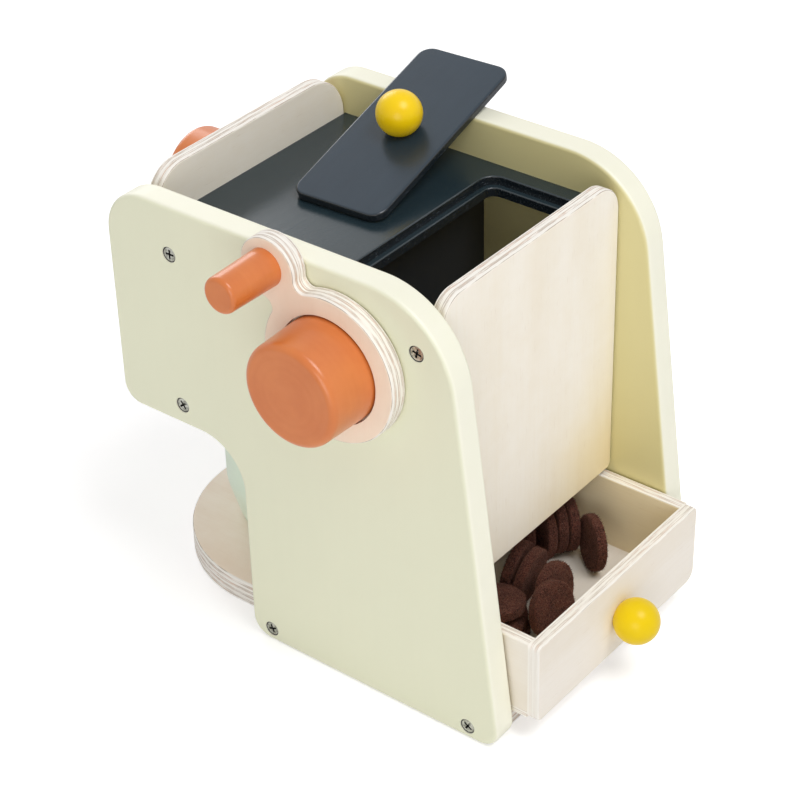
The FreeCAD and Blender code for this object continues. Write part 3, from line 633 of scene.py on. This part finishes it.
def plated_steel(name, head_centres=()):
    """Zinc plating with fine scratches, with painted shade round the heads and in their crosses."""
    finish, tree, shader, coordinates = new_finish(name)
    place = coordinates.outputs["Object"]
    cloud = noise(tree, place, ZINC_CLOUDS, 3.0)
    scratched = stretched(tree, place, along(Z_AXIS, 1.0, SCRATCH_SQUEEZE))
    scratches = noise(tree, scratched, SCRATCHES, 4.0, 0.7)
    colour = blend_colours(tree, between(tree, cloud, *ZINC_STEP), ZINC_DULL, ZINC_BRIGHT)
    rough = compute(tree, "MULTIPLY_ADD", cloud, ZINC_ROUGHNESS,
                    product(tree, scratches, SCRATCH_ROUGHNESS))
    # Painted shade: the rim and the cross of each head are darkened.
    if head_centres:
        bright = head_face(tree, coordinates, head_centres)
        colour = blend_colours(tree, bright, STEEL_SHADE, colour)
        rough = add(tree, "ShaderNodeMix", {0: bright, 2: STEEL_DARK_ROUGHNESS, 3: rough}).outputs[0]
    tree.links.new(colour, shader.inputs["Base Color"])
    shader.inputs["Metallic"].default_value = 1.0
    tree.links.new(rough, shader.inputs["Roughness"])
    raise_bumps(tree, shader, scratches, SCRATCH_DEPTH)
    return finish


steel = plated_steel("plated_steel")
steel_heads = {}
for side in ("left", "right"):
    centres = [points.mean(0) for points in islands(nodes["side_screws_" + side])]
    steel_heads[side] = plated_steel("plated_steel_heads_" + side, centres)
print("made", steel.name, "and", len(steel_heads), "finishes for screw heads")

# %% [markdown]
# Every CAD piece keeps its own mesh and takes its finish here. A board names its thickness axis, the
# way its grain runs and its number of sheets. Its sizes come from the model, so nothing is repeated.

# %% Give each CAD piece its finish
PLY_BOARDS = {
    "base_board": (Z_AXIS, Y_AXIS, 9),
    "front_panel": (Y_AXIS, X_AXIS, 5),
    "head_floor": (Z_AXIS, X_AXIS, 5),
    "column_panel": (Y_AXIS, Z_AXIS, 5),
    "back_panel": (Y_AXIS, Z_AXIS, 5),
    "crank_plate": (X_AXIS, Z_AXIS, 7),
    "drawer_face": (Y_AXIS, X_AXIS, 5),
    "drawer_back": (Y_AXIS, X_AXIS, 5),
    "drawer_side_left": (X_AXIS, Y_AXIS, 5),
    "drawer_side_right": (X_AXIS, Y_AXIS, 5),
    "drawer_floor": (Z_AXIS, X_AXIS, 3),
}
TINTS = {
    "crank_plate": (chart(252, 238, 217), chart(245, 226, 202)),
    "base_board": (chart(250, 238, 224), chart(240, 220, 200)),
    "drawer": (chart(243, 236, 226), chart(236, 226, 210)),
}
DRAWER_CONTRAST, PANEL_CONTRAST = 0.6, 0.85
INNER_SIGNS = {"drawer_side_left": 1.0, "drawer_side_right": -1.0, "drawer_face": -1.0,
               "drawer_back": 1.0}
low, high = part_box("back_panel")
back_corner = (low[X_AXIS], high[Y_AXIS], low[Z_AXIS])
finishes = {
    "side_panel_left": side_paint["left"],
    "side_panel_right": side_paint["right"],
    "deck": deck_paint,
    "hopper_divider": divider_paint,
    "lid_board": lid_paint,
    "crank_hub": orange_lacquer["hub"],
    "crank_grip": orange_lacquer["grip"],
    "dial_knob": orange_lacquer["dial"],
    "lid_knob": lid_ball_lacquer,
    "drawer_knob": drawer_ball_lacquer,
    "cup": cup_lacquer,
    "front_panel_dowels": beech_lengthwise,
    "dial_axle": beech_lengthwise,
    "crank_axle": beech_across,
    "crank_grip_dowel": beech_across,
    "crank_collar": beech_across,
}
for board, (thickness_axis, grain_axis, sheets) in PLY_BOARDS.items():
    pale, warm = TINTS.get(board) or TINTS.get(board.split("_")[0]) or (PALE, WARM)
    contrast = DRAWER_CONTRAST if board.startswith("drawer") else PANEL_CONTRAST
    corner = back_corner if board == "back_panel" else None
    finishes[board] = plywood("birch_" + board, board, thickness_axis, grain_axis, sheets, pale, warm,
                              contrast, INNER_SIGNS.get(board, 0.0), corner)
for screws in ("dial_washer", "dial_screw", "lid_knob_screw", "drawer_knob_screw"):
    finishes[screws] = steel
for side, finish in steel_heads.items():
    finishes["side_screws_" + side] = finish
for name, finish in finishes.items():
    mesh = nodes[name].data
    mesh.materials.clear()
    mesh.materials.append(finish)
print("finished", len(finishes), "CAD pieces")

# %% [markdown]
# The pretend coffee is twelve discs stamped from pressed felt. Felt has no weave: it is wool matted
# into a sheet, so a disc is a little lumpy, its cut rim is rougher than its faces, and loose fibres
# stand off it and catch the light. The CAD model holds plain discs in the right places, so each one
# is measured first: its middle, its axis and its size.


# %% Measure the plain discs
def measure_disc(points):
    """Centre, axes, radius and thickness of a flat disc from its points."""
    spread = np.cov((points - points.mean(0)).T)
    axes = np.linalg.eigh(spread)[1]
    flat = points @ axes
    low, high = flat.min(0), flat.max(0)
    centre = axes @ ((low + high) / 2)
    return centre, axes, (high - low)[1:].mean() / 2, (high - low)[0]


discs = [measure_disc(points) for points in islands(nodes["felt_beans"])]
print(len(discs), "discs of radius", round(discs[0][2] / MM, 1), "mm")

# %% [markdown]
# A blank disc is turned from a profile: rings of points from the middle of one face, over the rounded
# corner, down the rim and back to the middle of the other. The rings are about half a millimetre
# apart, close enough for the lumps that come next.

# %% Turn a blank disc
RING_STEP = 0.55 * MM
AROUND = 132
ROUNDING = 0.9 * MM
CORNER_STEPS = 4


def half_profile(radius, half):
    """Points (distance from axis, height) from the top's middle out to the rim's middle."""
    flat_steps = round((radius - ROUNDING) / RING_STEP)
    points = [((radius - ROUNDING) * i / flat_steps, half) for i in range(1, flat_steps + 1)]
    for i in range(1, CORNER_STEPS + 1):
        turn = math.pi / 2 * i / CORNER_STEPS
        points.append((radius - ROUNDING + ROUNDING * math.sin(turn),
                       half - ROUNDING + ROUNDING * math.cos(turn)))
    rim_steps = max(2, round((half - ROUNDING) / RING_STEP))
    points += [(radius, (half - ROUNDING) * (1 - i / rim_steps)) for i in range(1, rim_steps + 1)]
    return points


def blank_disc(name, centre, axes, radius, thickness):
    """A smooth disc in its place, closed and facing outwards."""
    upper = half_profile(radius, thickness / 2)
    profile = upper + [(r, -z) for r, z in reversed(upper[:-1])]
    made = bmesh.new()
    across = Vector(axes[:, 1])
    beside = Vector(axes[:, 2])
    axis = Vector(axes[:, 0])
    middle_point = Vector(centre)
    turns = [2 * math.pi * i / AROUND for i in range(AROUND)]
    spokes = [across * math.cos(turn) + beside * math.sin(turn) for turn in turns]
    rings = [[made.verts.new(middle_point + axis * z + spoke * r) for spoke in spokes]
             for r, z in profile]
    top = made.verts.new(middle_point + axis * thickness / 2)
    foot = made.verts.new(middle_point - axis * thickness / 2)
    for i in range(AROUND):
        following = (i + 1) % AROUND
        made.faces.new((top, rings[0][i], rings[0][following]))
        made.faces.new((foot, rings[-1][following], rings[-1][i]))
        for inner, outer in zip(rings, rings[1:]):
            made.faces.new((inner[i], outer[i], outer[following], inner[following]))
    bmesh.ops.recalc_face_normals(made, faces=made.faces)
    for face in made.faces:
        face.smooth = True
    mesh = bpy.data.meshes.new(name)
    made.to_mesh(mesh)
    made.free()
    piece = bpy.data.objects.new(name, mesh)
    bpy.context.scene.collection.objects.link(piece)
    return piece


blanks = [blank_disc(f"felt_disc_{i + 1:02d}", *disc) for i, disc in enumerate(discs)]
print("turned", len(blanks), "blanks of", len(blanks[0].data.polygons), "faces")

# %% [markdown]
# Felt's colour is a mix of fibres: dark brown with redder and paler hairs. The matting shows as soft
# grains about half a millimetre wide. A sheen on the shader lights the fuzz at grazing angles.


# %% Pressed felt
FELT_MATS, FELT_PATCHES, FELT_HAIRS = 1700.0, 190.0, 2600.0
MAT_SHARE = 0.85
HAIR_SHARE = 0.6
MAT_DEPTH = 0.4 * MM
BODY_STEP, HAIR_STEP = (0.42, 0.58), (0.58, 0.68)
FELT_ROUGHNESS, FELT_SPECULAR = 0.95, 0.15
SHEEN_WEIGHT, SHEEN_ROUGHNESS = 0.35, 0.5
SHEEN_TINT = chart(196, 150, 130)


def pressed_felt(name, dark, body, pale):
    """Matted brown wool."""
    finish, tree, shader, coordinates = new_finish(name)
    place = coordinates.outputs["Object"]
    mats = noise(tree, place, FELT_MATS, 5.0, 0.75, 0.5)
    patches = noise(tree, place, FELT_PATCHES, 3.0)
    hairs = between(tree, noise(tree, place, FELT_HAIRS, 3.0, 0.7), *HAIR_STEP)
    depth = merged(tree, mats, patches, MAT_SHARE)
    base = blend_colours(tree, between(tree, depth, *BODY_STEP), dark, body)
    flecked = blend_colours(tree, product(tree, hairs, HAIR_SHARE), base, pale)
    tree.links.new(flecked, shader.inputs["Base Color"])
    shader.inputs["Roughness"].default_value = FELT_ROUGHNESS
    shader.inputs["Specular IOR Level"].default_value = FELT_SPECULAR
    shader.inputs["Sheen Weight"].default_value = SHEEN_WEIGHT
    shader.inputs["Sheen Roughness"].default_value = SHEEN_ROUGHNESS
    shader.inputs["Sheen Tint"].default_value = SHEEN_TINT
    raise_bumps(tree, shader, mats, MAT_DEPTH)
    return finish


felt = pressed_felt("brown_felt", chart(38, 19, 17), chart(104, 62, 51), chart(184, 140, 124))
fibre = pressed_felt("brown_felt_fibre", chart(50, 27, 22), chart(104, 62, 50), chart(190, 150, 132))
print("made", felt.name, "and", fibre.name)

# %% [markdown]
# Lumps and loose fibres follow the surface, which is what Geometry Nodes are for. The tree below
# pushes each point in or out by noise, scatters points over the faces and stands a tapered hair on
# each, tilted at random. Its sizes are named inputs and its seed is fixed, so every run is the same.
# Modelling hairs by hand would never end, and a hair system wouldn't survive the export.


# %% A tree that lumps and fuzzes felt
FELT_SIZES = {
    "Lump Height": 0.9 * MM,
    "Lump Scale": 620.0,
    "Fibres Per Area": 3.2e6,
    "Fibre Length": 1.1 * MM,
    "Fibre Radius": 0.09 * MM,
}
FIBRE_TILT, FIBRE_TWIST = 1.1, 6.28
FIBRE_SMALLEST = 0.35


def value_input(tree, name, kind, value):
    """Declare a named input of a geometry tree and return its identifier."""
    socket = tree.interface.new_socket(name, in_out="INPUT", socket_type=kind)
    socket.default_value = value
    return socket.identifier


def felt_tree():
    """Geometry tree: an uneven surface with fibres that stand off it."""
    tree = bpy.data.node_groups.new("felt_surface", "GeometryNodeTree")
    tree.interface.new_socket("Geometry", in_out="INPUT", socket_type="NodeSocketGeometry")
    named = {name: value_input(tree, name, "NodeSocketFloat", value)
             for name, value in FELT_SIZES.items()}
    named["Seed"] = value_input(tree, "Seed", "NodeSocketInt", 0)
    tree.interface.new_socket("Geometry", in_out="OUTPUT", socket_type="NodeSocketGeometry")
    given = add(tree, "NodeGroupInput").outputs
    place = add(tree, "GeometryNodeInputPosition").outputs[0]
    normal = add(tree, "GeometryNodeInputNormal").outputs[0]
    coarse = noise(tree, place, given["Lump Scale"], 4.0, 0.7)
    depth = product(tree, compute(tree, "ADD", coarse, -0.5), given["Lump Height"])
    offset = add(tree, "ShaderNodeVectorMath", {0: normal, "Scale": depth}, operation="SCALE").outputs[0]
    lumpy = add(tree, "GeometryNodeSetPosition",
                {"Geometry": given["Geometry"], "Offset": offset}).outputs[0]
    points = add(tree, "GeometryNodeDistributePointsOnFaces",
                 {"Mesh": lumpy, "Density": given["Fibres Per Area"], "Seed": given["Seed"]})
    hair = add(tree, "GeometryNodeMeshCone", {"Vertices": 3, "Side Segments": 2, "Radius Top": 0.0,
                                              "Radius Bottom": given["Fibre Radius"],
                                              "Depth": given["Fibre Length"]}, fill_type="TRIANGLE_FAN")
    least_turn, most_turn = (-FIBRE_TILT, -FIBRE_TILT, 0.0), (FIBRE_TILT, FIBRE_TILT, FIBRE_TWIST)
    tilt = add(tree, "FunctionNodeRandomValue", {0: least_turn, 1: most_turn, "Seed": given["Seed"]},
               data_type="FLOAT_VECTOR").outputs[0]
    turned = add(tree, "FunctionNodeRotateRotation", {0: points.outputs["Rotation"], 1: tilt},
                 rotation_space="LOCAL").outputs[0]
    size = add(tree, "FunctionNodeRandomValue", {2: FIBRE_SMALLEST, 3: 1.0, "Seed": given["Seed"]},
               data_type="FLOAT").outputs[1]
    hairs = add(tree, "GeometryNodeInstanceOnPoints",
                {"Points": points.outputs["Points"], "Instance": hair.outputs["Mesh"],
                 "Rotation": turned, "Scale": size}).outputs[0]
    real = add(tree, "GeometryNodeRealizeInstances", {0: hairs}).outputs[0]
    both = add(tree, "GeometryNodeJoinGeometry")
    for shape, finish in ((lumpy, felt), (real, fibre)):
        painted = add(tree, "GeometryNodeSetMaterial", {"Geometry": shape, "Material": finish})
        tree.links.new(painted.outputs[0], both.inputs[0])
    add(tree, "NodeGroupOutput", {0: both.outputs[0]})
    return tree, named


felt_surface, felt_inputs = felt_tree()
print("felt tree with inputs", ", ".join(felt_inputs))

# %% [markdown]
# Each blank goes through the tree with a seed of its own and comes back as a plain mesh. The disc then
# rides in the drawer, and together the discs stand for the plain ones of the model.


# %% Felt the discs
def bake_tree(piece, tree, values):
    """Run a geometry tree on a piece and keep the result as its mesh."""
    modifier = piece.modifiers.new("felt", "NODES")
    modifier.node_group = tree
    for identifier, value in values.items():
        modifier[identifier] = value
    evaluated = piece.evaluated_get(bpy.context.evaluated_depsgraph_get())
    result = bpy.data.meshes.new_from_object(evaluated)
    piece.modifiers.clear()
    piece.data = result
    return piece


FIRST_SEED = 11
for number, piece in enumerate(blanks):
    bake_tree(piece, felt_surface, {felt_inputs["Seed"]: FIRST_SEED + number})
    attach(piece, "drawer")
    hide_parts("felt_beans")
print("felt discs of", len(blanks[0].data.polygons), "faces each")

# %% [markdown]
# The studio is a white floor under soft light. The room itself gives an even glow, and a large lamp
# above and behind the object shades the tops and the rear faces. A weaker and lower one fills the
# painted panel and the drawer from the crank's side, and one in front keeps the cup from going dull.
# The levels are set so that a paint renders about as its chart says. The camera sees the room as pure
# white, and so do mirrored rays, which brightens the gloss but lays no other light on the object.
# The floor glows a little for the camera alone, so it comes out white and still takes the shadow.

# %% Floor, lamps and room
FLOOR_SIDE = 12.0
FLOOR_DROP = 0.1 * MM
FLOOR_COLOUR = (0.92, 0.92, 0.93, 1.0)
FLOOR_GLOW = 0.35
ROOM_GLOW = 0.44
# Each lamp has its place, the width of its disc and its power in watts.
LAMPS = {
    "lamp_above_rear": ((0.10, 1.05, 2.05), 1.2, 23.0),
    "lamp_crank_side": ((1.75, 0.95, 0.50), 1.2, 9.0),
    "lamp_front": ((-0.80, -1.60, 1.00), 1.2, 10.0),
}


def aim_at(place, target):
    """Turn a lamp at place towards target."""
    return (target - place).to_track_quat("-Z", "Y").to_matrix().to_4x4()


for name, (place, width, power) in LAMPS.items():
    lamp_data = bpy.data.lights.new(name, "AREA")
    lamp_data.shape = "DISK"
    lamp_data.size = width
    lamp_data.energy = power
    lamp = bpy.data.objects.new(name, lamp_data)
    lamp.matrix_world = Matrix.Translation(place) @ aim_at(Vector(place), VIEW_AIM)
    bpy.context.scene.collection.objects.link(lamp)

world = bpy.data.worlds.new("room")
world.use_nodes = True
room = world.node_tree
room.nodes.clear()
rays = add(room, "ShaderNodeLightPath")
mirrored = compute(room, "MAXIMUM", rays.outputs["Is Glossy Ray"], rays.outputs["Is Transmission Ray"])
seen = compute(room, "MAXIMUM", rays.outputs["Is Camera Ray"], mirrored)
glow = compute(room, "MULTIPLY_ADD", seen, 1.0 - ROOM_GLOW, ROOM_GLOW)
surround = add(room, "ShaderNodeBackground", {"Color": (1.0, 1.0, 1.0, 1.0), "Strength": glow})
add(room, "ShaderNodeOutputWorld", {"Surface": surround.outputs[0]})
bpy.context.scene.world = world

floor_finish = bpy.data.materials.new("white_floor")
floor_finish.use_nodes = True
tree = floor_finish.node_tree
tree.nodes.clear()
rays = add(tree, "ShaderNodeLightPath")
matt = add(tree, "ShaderNodeBsdfDiffuse", {"Color": FLOOR_COLOUR})
lift = add(tree, "ShaderNodeEmission", {"Color": (1.0, 1.0, 1.0, 1.0), "Strength": compute(
    tree, "MULTIPLY", rays.outputs["Is Camera Ray"], FLOOR_GLOW)})
sum_of_both = add(tree, "ShaderNodeAddShader", {0: matt.outputs[0], 1: lift.outputs[0]})
add(tree, "ShaderNodeOutputMaterial", {"Surface": sum_of_both.outputs[0]})

floor_mesh = bpy.data.meshes.new("floor")
reach = FLOOR_SIDE / 2
floor_corners = [(-reach, -reach, 0), (reach, -reach, 0), (reach, reach, 0), (-reach, reach, 0)]
floor_mesh.from_pydata(floor_corners, [], [(0, 1, 2, 3)])
floor_mesh.materials.append(floor_finish)
floor = bpy.data.objects.new("floor", floor_mesh)
floor.location.z = -FLOOR_DROP
bpy.context.scene.collection.objects.link(floor)
bpy.context.scene.view_settings.view_transform = "Standard"
print("studio with", len(LAMPS), "lamps")
